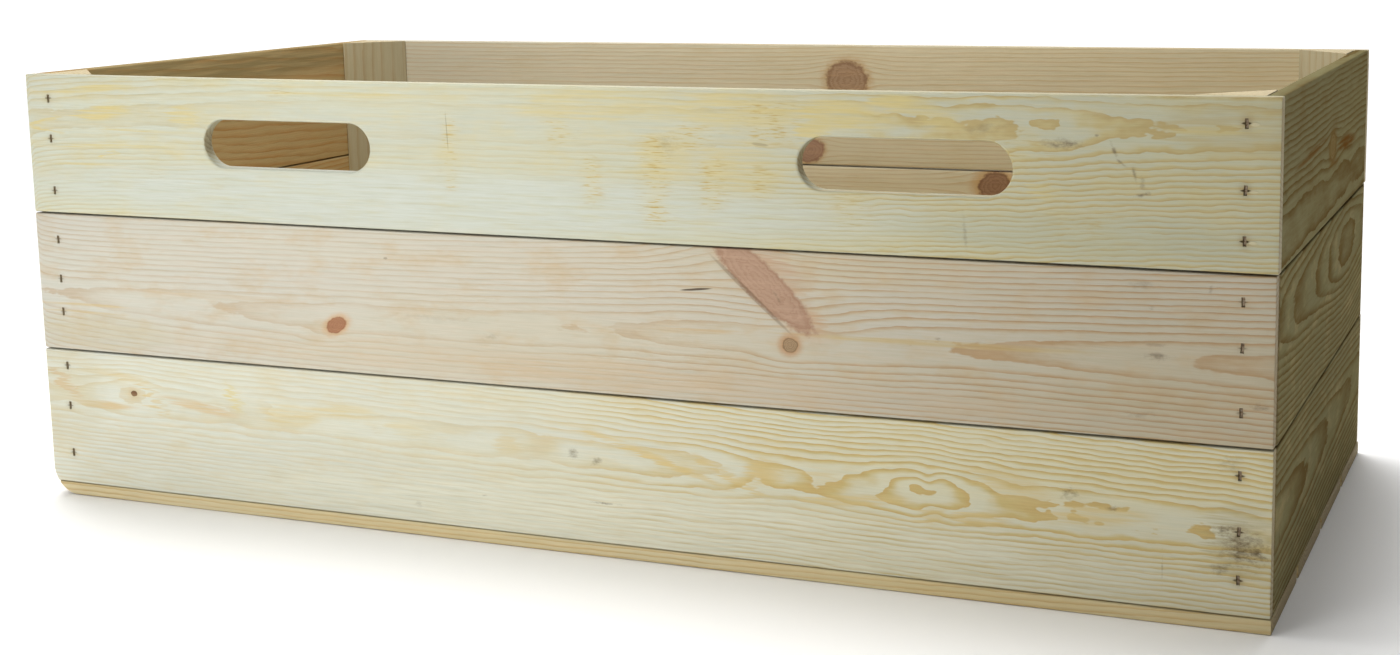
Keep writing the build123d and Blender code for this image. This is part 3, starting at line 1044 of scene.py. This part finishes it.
for number, place in enumerate(FLOOR_PLACES):
    node = f"floor_plank_{place}"
    low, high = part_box(node)
    cutters = [brad_slots(brads_through("floor_brads", node), FLAT, -1, low.z)]
    if place == "front":
        cutters.append(worn_corner(low.x, low.y))
    look = pine(f"{node}_look", FLAT, low.z, 1, FLOOR_WOODS[place])
    plank(node, FLAT, look, number * 5.3, cutters)

post_look = pine("post_look", UPRIGHT, 0.0, 1, POST)
for number, node in enumerate(sorted(n for n in frame["nodes"] if n.startswith("corner_post"))):
    post(node, post_look, seed=number * 2.7)

brad_material = steel()
for node in (n for n in frame["nodes"] if n.endswith("_brads")):
    data = frame["nodes"][node].data
    data.materials.clear()
    data.materials.append(brad_material)


# ---------------------------------------------------------------- floor, light and camera


def studio_floor():
    mesh = bmesh.new()
    bmesh.ops.create_circle(mesh, cap_ends=True, radius=4.0, segments=96)
    floor = to_object(mesh, "studio_floor")
    material = bpy.data.materials.new("studio_floor")
    material.use_nodes = True
    tree = material.node_tree
    shader = tree.nodes["Principled BSDF"]
    place = tree.nodes.new("ShaderNodeTexCoord").outputs["Object"]
    grain = cloud(tree, place, 3.0)
    tone = grain * 0.01 + 0.92
    feed(tree, shader.inputs["Base Color"], combined(tree, tone, tone, tone))
    shader.inputs["Roughness"].default_value = 0.9
    floor.data.materials.append(material)


def softbox(name, place, target, width, height, power, colour):
    light = bpy.data.lights.new(name, "AREA")
    light.shape = "RECTANGLE"
    light.size, light.size_y = width, height
    light.energy = power
    light.color = colour
    found = bpy.data.objects.new(name, light)
    found.location = place
    found.rotation_euler = (Vector(target) - Vector(place)).to_track_quat("-Z", "Y").to_euler()
    bpy.context.scene.collection.objects.link(found)


def sun(direction, strength, spread):
    """A broad, soft light from above, without a place."""
    light = bpy.data.lights.new("sky_light", "SUN")
    light.energy = strength
    light.angle = radians(spread)
    found = bpy.data.objects.new("sky_light", light)
    found.rotation_euler = Vector(direction).to_track_quat("-Z", "Y").to_euler()
    bpy.context.scene.collection.objects.link(found)


def world(towards, bright, dim):
    """White surroundings on the side that the camera looks towards, and dimmer ones all round."""
    sky = bpy.data.worlds.new("studio")
    sky.use_nodes = True
    tree = sky.node_tree
    background = tree.nodes["Background"]
    parts = tree.nodes.new("ShaderNodeSeparateXYZ")
    tree.links.new(tree.nodes.new("ShaderNodeTexCoord").outputs["Generated"], parts.inputs[0])
    x, y = Number(tree, parts.outputs[0]), Number(tree, parts.outputs[1])
    ahead = x * towards[0] + y * towards[1]
    background.inputs["Color"].default_value = (1.0, 1.0, 1.0, 1.0)
    feed(tree, background.inputs["Strength"], ahead.between(0.0, 0.65, dim, bright))
    bpy.context.scene.world = sky


def camera():
    """The camera stands before the crate's right end, a little above its rim, and looks slightly down."""
    place = (0.5477, -1.1824, 0.3668)
    heading, down, roll = 0.3857, 0.1535, 0.0146  # radians
    data = bpy.data.cameras.new("camera")
    data.sensor_width = 36.0  # millimetres, as the lens is
    data.lens = 50.68
    data.shift_x, data.shift_y = -0.0770, -0.0691
    found = bpy.data.objects.new("camera", data)
    aim = Matrix.Rotation(heading, 3, "Z") @ Matrix.Rotation(pi / 2 - down, 3, "X")
    turn = aim @ Matrix.Rotation(-roll, 3, "Z")
    found.matrix_world = Matrix.Translation(place) @ turn.to_4x4()
    bpy.context.scene.collection.objects.link(found)
    bpy.context.scene.camera = found


studio_floor()
world((-0.5, 0.866), 1.25, 0.11)
sun((0.30, -0.45, -0.85), 2.5, 45)
softbox("key", (-0.22, -1.00, 0.32), (-0.14, -0.19, 0.09), 0.50, 0.36, 3.8, (1.0, 1.0, 0.98))
softbox("top", (-0.08, -0.16, 1.0), (0.0, 0.15, 0.1), 0.9, 0.4, 6.0, (1.0, 0.99, 0.96))
camera()
bpy.context.scene.view_settings.view_transform = "Standard"
